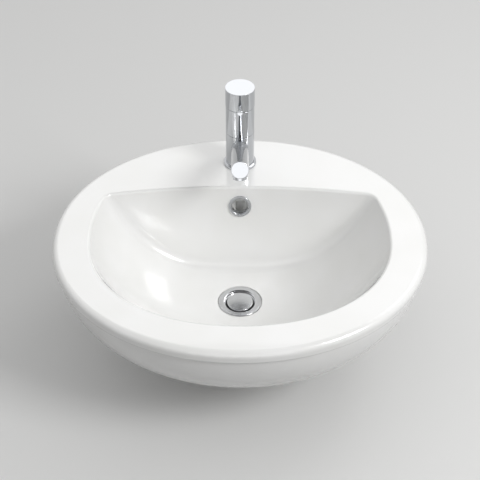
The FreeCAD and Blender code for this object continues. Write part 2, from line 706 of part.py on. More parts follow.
def make_waste():
    here = {"y": waste_y, "z": floor_z}
    under = at.flange_seal_height - at.flange_sink
    bore = at.waste_bore / 2
    tube = at.waste_thread / 2
    groove = tube - at.tail_groove_depth
    tail_top = at.tail_length - at.waste_length
    pipe = turned("waste_pipe", [
        (at.flange_flat / 2, at.flange_lip), (at.flange_dish / 2, -at.dish_edge),
        (at.flange_dish / 2, -at.dish_foot), (bore, -at.dish_end), (bore, -at.waste_length),
        (tube, -at.waste_length), (tube, tail_top), (groove, tail_top),
        (groove, tail_top + at.tail_groove), (tube, tail_top + at.tail_groove), (tube, -at.collar_end),
        (at.collar_width / 2, -at.collar_top),
        (at.collar_width / 2, under), (at.flange_width / 2, under), (at.flange_width / 2, at.flange_lip),
    ], **here)
    pipe = rounded(pipe, at.flange_edge, (at.flange_width / 2, at.flange_lip))

    # The bridge that carries the press-to-open unit, and the windows that let the overflow in
    bridge_z = floor_z - at.bridge_below
    hub = cylinder("bridge_hub", at.bridge_hub, at.bridge_height, y=waste_y, z=bridge_z)
    span = at.waste_bore + (at.waste_thread - at.waste_bore) / 2
    rib = block("bridge_rib", span, at.bridge_rib, at.bridge_height,
                x=-span / 2, y=waste_y - at.bridge_rib / 2, z=bridge_z)
    hub_hole = cylinder("bridge_hole", at.bridge_hole, 3 * at.bridge_height, y=waste_y,
                        z=bridge_z - at.bridge_height)
    window = block("waste_window", at.window_width, 2 * at.waste_thread, at.window_height,
                   x=-at.window_width / 2, y=waste_y - at.waste_thread,
                   z=floor_z - at.window_below - at.window_height / 2)
    finish(cut("waste_body", fuse("waste_whole", pipe, rib, hub), hub_hole, window), "waste_body")

    # Seals, washer and nut that clamp it in the outlet
    finish(washer("waste_flange_seal", at.flange_seal_bore, at.flange_seal_width, -at.flange_sink,
                  at.flange_seal_height, **here), "waste_flange_seal")
    clear = at.waste_thread + 2 * at.slide_play
    low = -at.outlet_length - at.lower_seal_height
    finish(washer("waste_lower_seal", clear, at.lower_seal_width, low, at.lower_seal_height, **here),
           "waste_lower_seal")
    low = low - at.slip_washer_height
    finish(washer("waste_washer", clear, at.slip_washer_width, low, at.slip_washer_height, **here),
           "waste_washer")
    low = low - at.backnut_height
    nut = hexagon("backnut_blank", at.backnut_flats, at.backnut_height, y=waste_y, z=floor_z + low)
    thread = cylinder("backnut_thread", at.waste_thread + 2 * at.thread_play, 3 * at.backnut_height,
                      y=waste_y, z=floor_z + low - at.backnut_height)
    finish(cut("waste_backnut", nut, thread), "waste_backnut")


def make_plug():
    here = {"y": waste_y, "z": floor_z}
    disc = at.plug_stand - at.plug_height
    neck = disc - at.plug_neck_height
    foot = neck - at.plug_foot_height
    cap = turned("plug_cap", [
        (0, foot), (at.plug_foot / 2, foot), (at.plug_foot / 2, neck), (at.plug_neck / 2, neck),
        (at.plug_neck / 2, disc), (at.plug_width / 2, disc), (at.plug_width / 2, at.plug_stand),
        (0, at.plug_stand),
    ], **here)
    finish(rounded(cap, at.plug_edge, (at.plug_width / 2, at.plug_stand)), "plug_cap")

    # The seal follows the cone of its seat at a small distance
    lean = (at.flange_dish - at.waste_bore) / 2 / (at.dish_end - at.dish_foot)
    upper = at.flange_dish / 2 + (disc + at.dish_foot) * lean - at.seal_play
    lower = at.flange_dish / 2 + (neck + at.dish_foot) * lean - at.seal_play
    finish(turned("plug_seal", [(at.plug_neck / 2, neck), (lower, neck), (upper, disc),
                                (at.plug_neck / 2, disc)], **here), "plug_seal")

    stem_end = foot - at.stem_length
    foot_top = stem_end + at.stem_foot_height
    finish(turned("plug_stem", [
        (0, stem_end), (at.stem_foot / 2, stem_end), (at.stem_foot / 2, foot_top),
        (at.stem_width / 2, foot_top), (at.stem_width / 2, foot), (0, foot),
    ], **here), "plug_stem")

    # The press-to-open unit stands on the bridge
    base = at.bridge_height - at.bridge_below
    top = base + at.clicker_height
    spigot = at.bridge_hole / 2 - at.thread_play
    chamber = at.stem_foot / 2 + at.slide_play
    mouth = at.stem_width / 2 + at.slide_play
    finish(turned("click_housing", [
        (0, -at.bridge_below), (spigot, -at.bridge_below), (spigot, base), (at.clicker_width / 2, base),
        (at.clicker_width / 2, top), (mouth, top), (mouth, top - at.clicker_floor),
        (chamber, top - at.clicker_floor), (chamber, base + at.clicker_floor),
        (0, base + at.clicker_floor),
    ], **here), "click_housing")

    # Its spring, between the unit's floor and the stem's foot
    floor = floor_z.value + base.value + at.clicker_floor.value
    ceiling = floor_z.value + stem_end.value
    wire = at.spring_wire.value / 2
    coil_radius = at.spring_width.value / 2 - wire
    rise = ceiling - floor - 2 * wire
    path = Part.makeHelix(rise / at.spring_turns.value, rise, coil_radius)
    start = Part.makeCircle(wire, FreeCAD.Vector(coil_radius, 0, 0), FreeCAD.Vector(0, 1, 0))
    coil = Part.Wire(path).makePipeShell([Part.Wire(start)], True, True)
    coil.translate(FreeCAD.Vector(0, waste_y.value, floor + wire))
    finish(form("click_spring", Part.makeSolid(coil) if coil.ShapeType != "Solid" else coil),
           "click_spring")


# ---------------------------------------------------------------------------------------------------
# The mixer: its heights count from the deck
# ---------------------------------------------------------------------------------------------------

mixer = {"y": mixer_y, "z": deck_z}
body_foot = at.gasket_height + at.ring_lip
inlet_places = [(side * at.inlet_spread / 2, at.inlet_behind) for side in (-1, 1)]
outlet_place = (0, -at.outlet_ahead)


def at_mixer(height, ahead=0, aside=0):
    """A place at the mixer: height above the deck, ahead of its axis and to its right."""
    return {"x": aside, "y": mixer_y - ahead, "z": deck_z + height}


def along_spout(distance, height=0):
    """A place on the spout's axis, at a distance from the mixer's axis."""
    return {"y": mixer_y - distance * cosine(at.spout_rise),
            "z": deck_z + at.spout_root + distance * sine(at.spout_rise) + height}


def ways(name, width_in, width_out, low, height):
    """The two inlet ways and the outlet way, upright through a piece."""
    bores = [
        cylinder(f"{name}_{index}", width_in, height, x=x, y=mixer_y + y, z=deck_z + low)
        for index, (x, y) in enumerate(inlet_places)]
    bores.append(cylinder(f"{name}_out", width_out, height, x=outlet_place[0],
                          y=mixer_y + outlet_place[1], z=deck_z + low))
    return bores


def make_mixer_base():
    finish(washer("mixer_base_gasket", at.ring_bore, at.gasket_width, 0, at.gasket_height, **mixer),
           "mixer_base_gasket")
    bore = at.mixer_width / 2 + at.thread_play
    groove = at.gasket_width / 2 + at.gasket_play
    ring = turned("mixer_base_ring", [
        (at.ring_bore / 2, at.gasket_height), (groove, at.gasket_height), (groove, at.gasket_show),
        (at.ring_width / 2, at.gasket_show), (at.ring_width / 2, at.ring_side), (bore, at.ring_height),
        (bore, body_foot), (at.ring_bore / 2, body_foot),
    ], **mixer)
    finish(ring, "mixer_base_ring")


def make_mixer_body():
    radius = at.mixer_width / 2
    neck = at.neck_width / 2
    pocket = at.pocket_width / 2
    column = turned("mixer_column", [
        (0, body_foot), (radius, body_foot), (radius, at.body_joint), (neck, at.body_joint),
        (neck, at.neck_top), (pocket, at.neck_top), (pocket, at.pocket_floor), (0, at.pocket_floor),
    ], **mixer)
    lean = 90 - at.spout_rise
    spout = turned("spout", [(0, 0), (at.spout_width / 2, 0), (at.spout_width / 2, at.spout_length),
                             (0, at.spout_length)], turn=lean, **along_spout(0))
    spout = rounded(spout, at.spout_edge, (at.spout_width / 2, at.spout_length))
    outlet_at = at.spout_length - at.aerator_back
    down = 180 - at.spout_rise
    boss = cylinder("aerator_boss", at.aerator_boss, at.aerator_seat, turn=down, **along_spout(outlet_at))
    whole = fuse("mixer_whole", column, spout, boss)

    # The water ways: two inlets, the outlet way and the spout's bore down to the aerator
    ports = [
        cylinder(f"inlet_port_{index}", at.inlet_thread, at.inlet_thread_length + body_foot, x=x,
                 y=mixer_y + y, z=deck_z) for index, (x, y) in enumerate(inlet_places)]
    inlets = [
        cylinder(f"inlet_way_{index}", at.inlet_way, at.pocket_floor, x=x, y=mixer_y + y,
                 z=deck_z + body_foot) for index, (x, y) in enumerate(inlet_places)]
    outlet_low = at.spout_root + at.outlet_ahead * tangent(at.spout_rise)
    outlet = cylinder("outlet_way", at.outlet_way, at.pocket_floor, **at_mixer(outlet_low, at.outlet_ahead))
    bore = cylinder("spout_way", at.spout_bore, at.spout_length - at.spout_bore_start - at.spout_cap,
                    turn=lean, **along_spout(at.spout_bore_start))
    drop = cylinder("aerator_way", at.aerator_way, at.aerator_seat, turn=down, **along_spout(outlet_at))
    socket_depth = at.aerator_seat - at.aerator_pocket
    middle = along_spout(outlet_at)
    thread = cylinder(
        "aerator_thread", at.aerator_thread, 2 * socket_depth, turn=down,
        y=middle["y"] - at.aerator_pocket * sine(at.spout_rise),
        z=middle["z"] - at.aerator_pocket * cosine(at.spout_rise))
    stud = cylinder("stud_thread", at.stud_width + 2 * at.thread_play, at.stud_hold + body_foot,
                    **at_mixer(0, -at.stud_behind))
    finish(cut("mixer_body", whole, *ports, *inlets, outlet, bore, drop, thread, stud), "mixer_body")

    finish(washer("cartridge_sleeve", at.mixer_width - 2 * at.sleeve_wall, at.mixer_width,
                  at.body_joint + at.joint_gap, at.sleeve_top - at.body_joint - at.joint_gap, **mixer),
           "cartridge_sleeve")


def make_aerator():
    here = dict(along_spout(at.spout_length - at.aerator_back), turn=180 - at.spout_rise)
    finish(washer("aerator_seal", at.aerator_way, at.aerator_thread - 2 * at.thread_play,
                  at.aerator_pocket, at.aerator_seal, **here), "aerator_seal")
    thread = at.aerator_thread / 2 - at.thread_play
    bore = thread - at.aerator_wall
    start = at.aerator_pocket + at.aerator_seal
    collar = at.aerator_seat + at.thread_play
    end = collar + at.aerator_height
    finish(turned("aerator_housing", [
        (bore, start), (thread, start), (thread, collar), (at.aerator_width / 2, collar),
        (at.aerator_width / 2, end), (at.aerator_mouth / 2, end),
        (at.aerator_mouth / 2, end - at.aerator_lip), (bore, end - at.aerator_lip),
    ], **here), "aerator_housing")

    # The insert: a short cylinder pierced by a field of square holes
    core = turned("aerator_core", [
        (0, start), (bore - at.thread_play, start), (bore - at.thread_play, end - at.aerator_lip),
        (0, end - at.aerator_lip),
    ], **here)
    side, pitch = at.aerator_hole.value, at.aerator_pitch.value
    reach = int(at.aerator_field.value / 2 / pitch)
    holes = []
    for across in range(-reach, reach + 1):
        for along in range(-reach, reach + 1):
            if math.hypot(across, along) * pitch > at.aerator_field.value / 2 - side / 2:
                continue
            corner = FreeCAD.Vector(across * pitch - side / 2, along * pitch - side / 2, 0)
            holes.append(Part.makeBox(side, side, end.value + side, corner))
    field = place(form("aerator_holes", Part.makeCompound(holes)), **here)
    finish(cut("aerator_insert", core, field), "aerator_insert")


def make_cartridge():
    pocket = at.pocket_floor
    seal_top = pocket + at.seal_height
    base_top = seal_top + at.base_height
    disc_top = base_top + at.disc_height
    slider_low = disc_top + at.film
    slider_top = slider_low + at.disc_height
    coupler_top = slider_top + at.coupler_height
    rings = [
        washer(f"cartridge_seal_{index}", at.outlet_way, at.seal_width, pocket, at.seal_height,
               x=x, y=mixer_y + y, z=deck_z)
        for index, (x, y) in enumerate(inlet_places + [outlet_place])]
    finish(group("cartridge_seals", *rings), "cartridge_seals")

    base = turned("base_blank", [(0, seal_top), (at.cartridge_width / 2, seal_top),
                                 (at.cartridge_width / 2, base_top), (0, base_top)], **mixer)
    finish(cut("cartridge_base", base,
               *ways("base_way", at.inlet_way, at.outlet_way, seal_top - 1, at.base_height + 2)),
           "cartridge_base")
    disc = turned("disc_blank", [(0, base_top), (at.disc_width / 2, base_top),
                                 (at.disc_width / 2, disc_top), (0, disc_top)], **mixer)
    finish(cut("fixed_disc", disc,
               *ways("disc_way", at.inlet_way, at.outlet_way, base_top - 1, at.disc_height + 2)),
           "fixed_disc")

    # The moving disc has a shallow hollow that joins the ways as it slides
    finish(turned("moving_disc", [
        (0, slider_low + at.slider_hollow), (at.slider_hollow_width / 2, slider_low + at.slider_hollow),
        (at.slider_hollow_width / 2, slider_low), (at.slider_width / 2, slider_low),
        (at.slider_width / 2, slider_top), (0, slider_top)], **mixer), "moving_disc")
    ball = at.arm_ball / 2
    pocket_radius = ball + at.slide_play
    pocket_low = at.pivot_height - at.arm_length - ball - at.ball_room
    finish(turned("disc_coupler", [
        (0, slider_top), (at.coupler_width / 2, slider_top), (at.coupler_width / 2, coupler_top),
        (pocket_radius, coupler_top), (pocket_radius, pocket_low), (0, pocket_low)], **mixer),
        "disc_coupler")

    shoulder = at.housing_top
    cavity = at.cartridge_width / 2 - at.housing_wall
    throat = at.carrier_width / 2 + at.slide_play
    finish(turned("cartridge_housing", [
        (cavity, base_top), (at.cartridge_width / 2, base_top), (at.cartridge_width / 2, shoulder),
        (at.housing_neck / 2, shoulder), (at.housing_neck / 2, at.housing_neck_top),
        (throat, at.housing_neck_top), (throat, shoulder - at.housing_wall),
        (cavity, shoulder - at.housing_wall)], **mixer), "cartridge_housing")

    nut = washer("nut_blank", at.housing_neck + 2 * at.slide_play, at.pocket_width - 2 * at.thread_play,
                 shoulder, at.nut_height, **mixer)
    notch_low = deck_z + shoulder + at.nut_height / 2
    notches = [
        block("nut_notch_across", at.pocket_width, at.nut_slot, at.nut_height, x=-at.pocket_width / 2,
              y=mixer_y - at.nut_slot / 2, z=notch_low),
        block("nut_notch_along", at.nut_slot, at.pocket_width, at.nut_height, x=-at.nut_slot / 2,
              y=mixer_y - at.pocket_width / 2, z=notch_low)]
    finish(cut("cartridge_nut", nut, *notches), "cartridge_nut")


def make_lever():
    pivot = at.pivot_height
    # The carrier turns in the housing's neck and holds the pivot pin
    drum = turned("carrier_drum", [
        (0, pivot - at.carrier_below), (at.carrier_width / 2, pivot - at.carrier_below),
        (at.carrier_width / 2, pivot + at.carrier_above), (0, pivot + at.carrier_above)], **mixer)
    slot_width = at.stem_thick + 2 * at.slide_play
    slot = block("carrier_slot", slot_width, at.carrier_slot, PAST_ALL, x=-slot_width / 2,
                 y=mixer_y - at.carrier_slot / 2, z=deck_z)
    sideways = {"turn": 90, "about": FreeCAD.Vector(0, 1, 0), "y": mixer_y, "z": pivot_z}
    pin_hole = cylinder("carrier_hole", at.pivot_pin + at.pin_play, at.pivot_pin_length + at.pin_play,
                        x=-(at.pivot_pin_length + at.pin_play) / 2, **sideways)
    finish(cut("lever_carrier", drum, slot, pin_hole), "lever_carrier")
    finish(cylinder("lever_pivot_pin", at.pivot_pin, at.pivot_pin_length, x=-at.pivot_pin_length / 2,
                    **sideways), "lever_pivot_pin")

    # The stem tilts on that pin. Its ball drives the moving disc, its top carries the handle.
    square = block("stem_square", at.stem_thick, at.stem_side, at.stem_top - pivot + at.stem_below,
                   x=-at.stem_thick / 2, y=mixer_y - at.stem_side / 2, z=pivot_z - at.stem_below)
    arm = cylinder("stem_arm", at.arm_width, at.arm_length, y=mixer_y, z=pivot_z - at.arm_length)
    ball = sphere("stem_ball", at.arm_ball, y=mixer_y, z=pivot_z - at.arm_length)
    stem_hole = cylinder("stem_hole", at.pivot_pin + 2 * at.pin_play, 2 * at.stem_thick,
                         x=-at.stem_thick, **sideways)
    finish(cut("cartridge_stem", fuse("stem_whole", square, arm, ball), stem_hole), "cartridge_stem")

    # The dome hides the cartridge under the handle
    flange_low = deck_z + at.neck_top
    dome = fuse("dome_whole", sphere("dome_outside", at.dome_width, y=mixer_y, z=pivot_z),
                cylinder("dome_flange", at.neck_width + at.dome_play, at.dome_flange,
                         y=mixer_y, z=flange_low))
    finish(cut(
        "dome_cover", dome, sphere("dome_inside", at.dome_width - 2 * at.dome_wall, y=mixer_y, z=pivot_z),
        cylinder("dome_top", at.dome_hole, PAST_ALL, y=mixer_y, z=pivot_z),
        cylinder("dome_below", 2 * at.dome_width, at.dome_width, y=mixer_y, z=flange_low - at.dome_width)),
        "dome_cover")


def make_handle():
    radius = at.handle_width / 2
    low = at.sleeve_top + at.handle_gap
    drum = turned("handle_drum", [(0, low), (radius, low), (radius, at.handle_top), (0, at.handle_top)],
                  **mixer)
    drum = rounded(drum, at.handle_edge, (radius, at.handle_top))
    hollow = sphere("handle_hollow", at.handle_socket, y=mixer_y, z=pivot_z)
    socket_x = at.stem_thick + 2 * at.thread_play
    socket_y = at.stem_side + 2 * at.thread_play
    socket = block("handle_socket", socket_x, socket_y, at.stem_top + at.thread_play - at.pivot_height,
                   x=-socket_x / 2, y=mixer_y - socket_y / 2, z=pivot_z)

    # The back of the rim is relieved, so that the handle can tilt over the sleeve
    relief_turn = at.lever_lift + at.lever_relief
    relief = block("handle_relief", 2 * PAST_ALL, PAST_ALL, PAST_ALL, x=-PAST_ALL,
                   y=mixer_y + PAST_ALL * sine(relief_turn), z=pivot_z - PAST_ALL * cosine(relief_turn),
                   turn=relief_turn)

    # The pin lever is screwed into the front, the set screw comes from the back
    lean = 90 - at.pin_rise
    root = at_mixer(at.pin_root, at.handle_width / 2)
    bottom = at.pin_sink + at.pin_spigot_length
    seat = cylinder("pin_seat", at.pin_width + 2 * at.thread_play, 2 * at.pin_sink, turn=lean,
                    y=root["y"] + at.pin_sink * cosine(at.pin_rise),
                    z=root["z"] - at.pin_sink * sine(at.pin_rise))
    thread = cylinder("pin_thread", at.pin_spigot + 2 * at.thread_play, bottom, turn=lean,
                      y=root["y"] + bottom * cosine(at.pin_rise), z=root["z"] - bottom * sine(at.pin_rise))
    grub_low = at.stem_side / 2
    grub_hole = cylinder("grub_hole", at.grub_width + 2 * at.thread_play, at.handle_width, turn=-90,
                         **at_mixer(at.grub_height, -grub_low))
    finish(cut("handle_cap", drum, hollow, socket, relief, seat, thread, grub_hole), "handle_cap")

    pin = turned("handle_pin", [
        (0, -bottom), (at.pin_spigot / 2, -bottom), (at.pin_spigot / 2, -at.pin_sink),
        (at.pin_width / 2, -at.pin_sink), (at.pin_width / 2, at.pin_length), (0, at.pin_length),
    ], turn=lean, **root)
    finish(rounded(pin, at.pin_edge, (at.pin_width / 2, at.pin_length)), "handle_pin")

    screw = cylinder("grub_blank", at.grub_width, at.grub_length, turn=-90,
                     **at_mixer(at.grub_height, -grub_low))
    key = hexagon("grub_key", at.grub_key, 2 * at.grub_key_depth, turn=-90,
                  **at_mixer(at.grub_height, -grub_low - at.grub_length + at.grub_key_depth))
    finish(cut("handle_grub_screw", screw, key), "handle_grub_screw")


def make_fixing():
    stud_low = -at.deck_thickness - at.stud_below
    finish(cylinder("fixing_stud", at.stud_width, body_foot + at.stud_hold - stud_low,
                    **at_mixer(stud_low, -at.stud_behind)), "fixing_stud")

    def horseshoe(name, low, height):
        plate = cylinder(f"{name}_plate", at.clamp_width, height, **at_mixer(low))
        slot = block(f"{name}_slot", at.clamp_slot, at.clamp_width, 3 * height,
                     x=-at.clamp_slot / 2, y=mixer_y + at.clamp_slot_end - at.clamp_width,
                     z=deck_z + low - height)
        hole = cylinder(f"{name}_hole", at.stud_width + 2 * at.slide_play, 3 * height,
                        **at_mixer(low - height, -at.stud_behind))
        return cut(name, plate, slot, hole)

    low = -at.deck_thickness - at.clamp_rubber
    finish(horseshoe("horseshoe_gasket", low, at.clamp_rubber), "horseshoe_gasket")
    low = low - at.clamp_plate
    finish(horseshoe("horseshoe_washer", low, at.clamp_plate), "horseshoe_washer")
    low = low - at.stud_nut_height
    nut = hexagon("stud_nut_blank", at.stud_nut_flats, at.stud_nut_height, **at_mixer(low, -at.stud_behind))
    thread = cylinder("stud_nut_thread", at.stud_width + 2 * at.thread_play, 3 * at.stud_nut_height,
                      **at_mixer(low - at.stud_nut_height, -at.stud_behind))
    finish(cut("fixing_nut", nut, thread), "fixing_nut")


make_basin()
make_overflow_insert()
make_waste()
make_plug()
make_mixer_base()
make_mixer_body()
make_aerator()
make_cartridge()
make_lever()
make_handle()
make_fixing()
doc.recompute()

# ---------------------------------------------------------------------------------------------------
# Checks and files
# ---------------------------------------------------------------------------------------------------

for item in doc.Objects:
    if "Invalid" in item.State or "Error" in item.State:
        raise ValueError(f"{item.Name} did not compute: {item.State}")
for item in finished:
    if item.Shape.isNull() or not item.Shape.isValid() or not item.Shape.Solids:
        raise ValueError(f"{item.Label} is not a sound solid")

os.makedirs("parts", exist_ok=True)
for item in finished:
    item.Shape.exportStep(f"parts/{item.Label}.step")
    box = item.Shape.optimalBoundingBox(True, False)
    print(f"{item.Label:20s} {len(item.Shape.Solids)} solid  {item.Shape.Volume / 1000:9.2f} cm3   "
          f"x {box.XMin:7.1f} {box.XMax:7.1f}  y {box.YMin:7.1f} {box.YMax:7.1f}  "
          f"z {box.ZMin:7.1f} {box.ZMax:7.1f}")
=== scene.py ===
# %% [markdown]
# # A semi recessed basin
# The basin is an oval of glazed ceramic that hangs in a worktop, with a chrome mixer on its deck and a
# press-to-open waste in its floor. Its solids come from CAD and already stand in the right place. Here they
# get the surfaces of the real thing: where light slides over a rounded edge or a turned face, the piece is
# made again with a finer mesh, and everything gets a material.

# %% Load the frame
import bmesh
import bpy
import math
from mathutils import Matrix, Vector
from mathutils.kdtree import KDTree


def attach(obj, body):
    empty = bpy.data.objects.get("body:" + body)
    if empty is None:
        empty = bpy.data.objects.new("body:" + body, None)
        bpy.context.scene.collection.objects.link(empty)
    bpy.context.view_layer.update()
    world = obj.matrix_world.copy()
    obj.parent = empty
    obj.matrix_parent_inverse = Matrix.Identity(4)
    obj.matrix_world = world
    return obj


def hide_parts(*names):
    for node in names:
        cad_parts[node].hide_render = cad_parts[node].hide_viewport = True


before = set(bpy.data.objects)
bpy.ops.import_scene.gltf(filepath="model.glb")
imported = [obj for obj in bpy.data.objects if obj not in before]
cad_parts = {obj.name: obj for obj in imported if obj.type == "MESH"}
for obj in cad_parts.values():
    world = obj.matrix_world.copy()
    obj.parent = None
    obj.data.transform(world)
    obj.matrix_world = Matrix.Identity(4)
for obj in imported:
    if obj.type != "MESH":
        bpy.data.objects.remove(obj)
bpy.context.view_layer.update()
print("nodes:", len(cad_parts))


# %% [markdown]
# ## Places
# The CAD frame has its origin on the worktop's surface, in the middle of the seat at the back. Sizes here
# are written in millimetres, as a drawing gives them, and turned to metres where Blender needs them. Four
# places carry all the fittings: the deck, the bowl's floor, the mixer's axis and the lever's pivot.

# %% Places
def mm(value):
    """Millimetres to Blender's metres."""
    return value / 1000


def stand(y, z, lean=0):
    """A place on the mirror plane: a turned piece stands there, its axis leaning about X."""
    return Matrix.Translation((0, mm(y), mm(z))) @ Matrix.Rotation(math.radians(lean), 4, "X")


RIM_CENTRE = -232.5
DECK = 18
FLOOR = -124
WASTE = -224.5
MIXER = -54
PIVOT = 109.4
at_waste = stand(WASTE, FLOOR)
at_mixer = stand(MIXER, DECK)
print("mixer stands", MIXER - WASTE, "mm behind the waste")


# %% [markdown]
# ## Camera
# The photograph looks down at the basin from in front, about 40 degrees above the horizon, with a long
# lens. A camera that reproduces the rim's oval, the belly's outline and the mixer's height stands 1.8 m
# from the rim's centre. A long lens keeps the oval calm: a wide one would swell the near edge.

# %% Camera
camera_data = bpy.data.cameras.new("camera")
camera_data.lens = 91.7
camera_data.sensor_width = 36
camera_data.sensor_fit = "HORIZONTAL"
camera = bpy.data.objects.new("camera", camera_data)
camera.location = (0, -1.6012, 1.18175)
camera.rotation_euler = (math.radians(90 - 40.6), 0, 0)
bpy.context.scene.collection.objects.link(camera)
bpy.context.scene.camera = camera
print("camera is", round(camera.location.length, 3), "m from the origin")


# %% [markdown]
# ## Helpers for materials
# A finish is a few nodes: a shader, and a pattern or two that break up its gloss or its surface. Colours
# are written as sRGB hex, as a paint chart gives them, and one function makes them linear. Another one adds
# a node with its settings and its links, so a material reads as a short list.

# %% Helpers for materials
def colour(code):
    """sRGB hex to linear RGBA."""
    parts = [int(code[i:i + 2], 16) / 255 for i in (0, 2, 4)]
    return [p / 12.92 if p < 0.04045 else ((p + 0.055) / 1.055) ** 2.4 for p in parts] + [1.0]


def add(tree, kind, sockets=None, **settings):
    """Add a node. A socket's value is a number or colour, or another node's output to link."""
    node = tree.nodes.new(kind)
    for name, value in settings.items():
        setattr(node, name, value)
    for name, value in (sockets or {}).items():
        if isinstance(value, bpy.types.NodeSocket):
            tree.links.new(value, node.inputs[name])
        else:
            node.inputs[name].default_value = value
    return node


def finish(name, **shader):
    """A material with its shader node: returns the material, its tree and the shader."""
    material = bpy.data.materials.new(name)
    material.use_nodes = True
    tree = material.node_tree
    surface = tree.nodes["Principled BSDF"]
    for socket, value in shader.items():
        surface.inputs[socket.replace("_", " ")].default_value = value
    return material, tree, surface


def per_metre(size):
    """The scale of a pattern whose features are this many millimetres apart."""
    return 1000 / size


print("white glaze, linear:", [round(v, 3) for v in colour("F0F0EE")])


# %% [markdown]
# ## Vitreous china
# The basin is vitreous china: fired clay under a white glaze. The glaze is a coat of glass about half a
# millimetre thick, so there are two layers to show, a soft white body and a sharp clear coat on it. A real
# glaze isn't a mirror: it flows in the kiln and keeps a slow ripple, a few centimetres from crest to crest
# and a few hundredths of a millimetre high, which bends the edges of reflections.

# %% Vitreous china
vitreous_china, tree, surface = finish(
    "vitreous_china", Roughness=0.22, IOR=1.5, Coat_Weight=1.0, Coat_Roughness=0.03, Coat_IOR=1.52)
place = add(tree, "ShaderNodeTexCoord").outputs["Object"]
cloud = add(tree, "ShaderNodeTexNoise", {"Vector": place, "Scale": per_metre(60), "Detail": 1.0})
tone = add(tree, "ShaderNodeValToRGB", {"Fac": cloud.outputs["Fac"]})
tone.color_ramp.elements[0].position = 0.3
tone.color_ramp.elements[0].color = colour("EEEEEC")
tone.color_ramp.elements[1].position = 0.7
tone.color_ramp.elements[1].color = colour("F1F1F0")
tree.links.new(tone.outputs["Color"], surface.inputs["Base Color"])
ripple = add(tree, "ShaderNodeTexNoise", {"Vector": place, "Scale": per_metre(25), "Detail": 0.0})
relief = add(tree, "ShaderNodeBump", {
    "Height": ripple.outputs["Fac"], "Strength": 0.25, "Distance": mm(0.06)})
tree.links.new(relief.outputs["Normal"], surface.inputs["Coat Normal"])
print(vitreous_china.name, "ripple every 25 mm")


# %% [markdown]
# ## Chrome plate
# The visible metal is brass, polished and plated with nickel and chromium. Chrome is a little darker and
# bluer than silver and almost free of grain. What keeps it from looking like a perfect mirror is a film of
# fine wipe marks, drawn here as a slow change of roughness, coarser than the real ones so that it shows. In
# the photograph the waste looks paler and more satin than the mixer. Its duller gloss is its own finish. Its
# colour is paler than chrome's own, and that is painted light that brings it up to that brightness.

# %% Chrome plate
def chromed(name, hex_code, size, sharpest, dullest):
    """A chrome finish: its roughness drifts between two values, in patches of this many millimetres."""
    material, tree, surface = finish(name, Base_Color=colour(hex_code), Metallic=1.0)
    place = add(tree, "ShaderNodeTexCoord").outputs["Object"]
    wipes = add(tree, "ShaderNodeTexNoise", {"Vector": place, "Scale": per_metre(size), "Detail": 3.0})
    gloss = add(tree, "ShaderNodeMapRange", {
        "Value": wipes.outputs["Fac"], "From Min": 0.3, "From Max": 0.7,
        "To Min": sharpest, "To Max": dullest})
    tree.links.new(gloss.outputs["Result"], surface.inputs["Roughness"])
    print(name, "wipe marks every", size, "mm")
    return material


chrome_plate = chromed("chrome_plate", "C3C5C8", 9, 0.035, 0.075)
# The waste's colour is painted light: it is paler than chrome's own so that the waste shows as bright as it
# looks.
waste_chrome = chromed("waste_chrome", "E2E3E5", 6, 0.13, 0.19)


# %% [markdown]
# ## Rubber, plastic, brass, steel and lapped ceramic
# The hidden pieces have plain technical finishes. Moulded rubber and acetal have a fine grain from their
# moulds. Turned brass and zinc-plated steel keep the rings of the tool, drawn as a wave round the piece's
# axis. The discs in the cartridge are alumina, lapped to a silky grey-white.

# %% Rubber, plastic, brass, steel and lapped ceramic
def moulded(name, hex_code, roughness, grain):
    """A moulded finish with a fine grain, given in millimetres."""
    material, tree, surface = finish(name, Base_Color=colour(hex_code), Roughness=roughness)
    place = add(tree, "ShaderNodeTexCoord").outputs["Object"]
    noise = add(tree, "ShaderNodeTexNoise", {"Vector": place, "Scale": per_metre(grain), "Detail": 2.0})
    relief = add(tree, "ShaderNodeBump", {
        "Height": noise.outputs["Fac"], "Strength": 0.3, "Distance": mm(0.05)})
    tree.links.new(relief.outputs["Normal"], surface.inputs["Normal"])
    return material


def machined(name, hex_code, roughness, pitch, axis_y):
    """A turned metal finish: rings of the tool at this pitch round the upright axis at axis_y."""
    material, tree, surface = finish(name, Base_Color=colour(hex_code), Metallic=1.0, Roughness=roughness)
    place = add(tree, "ShaderNodeTexCoord").outputs["Object"]
    centred = add(tree, "ShaderNodeMapping", {"Vector": place, "Location": (0, -mm(axis_y), 0)})
    rings = add(tree, "ShaderNodeTexWave", {
        "Vector": centred.outputs["Vector"], "Scale": per_metre(pitch) / 20, "Distortion": 0.2},
        wave_type="RINGS", rings_direction="Z")
    relief = add(tree, "ShaderNodeBump", {
        "Height": rings.outputs["Fac"], "Strength": 0.3, "Distance": mm(0.03)})
    tree.links.new(relief.outputs["Normal"], surface.inputs["Normal"])
    return material


black_rubber = moulded("black_epdm_rubber", "202021", 0.62, 0.5)
acetal = moulded("white_acetal", "E4E3DE", 0.38, 0.8)
alumina = moulded("lapped_alumina", "DAD6CC", 0.3, 0.4)
brass = machined("turned_brass", "C6A664", 0.28, 0.6, WASTE)
cartridge_brass = machined("turned_cartridge_brass", "C6A664", 0.28, 0.6, MIXER)
steel = machined("zinc_plated_steel", "B9BCC0", 0.3, 0.5, MIXER)
spring_steel = moulded("spring_steel_wire", "8E9092", 0.3, 0.5)
spring_steel.node_tree.nodes["Principled BSDF"].inputs["Metallic"].default_value = 1.0
print("materials:", len(bpy.data.materials))


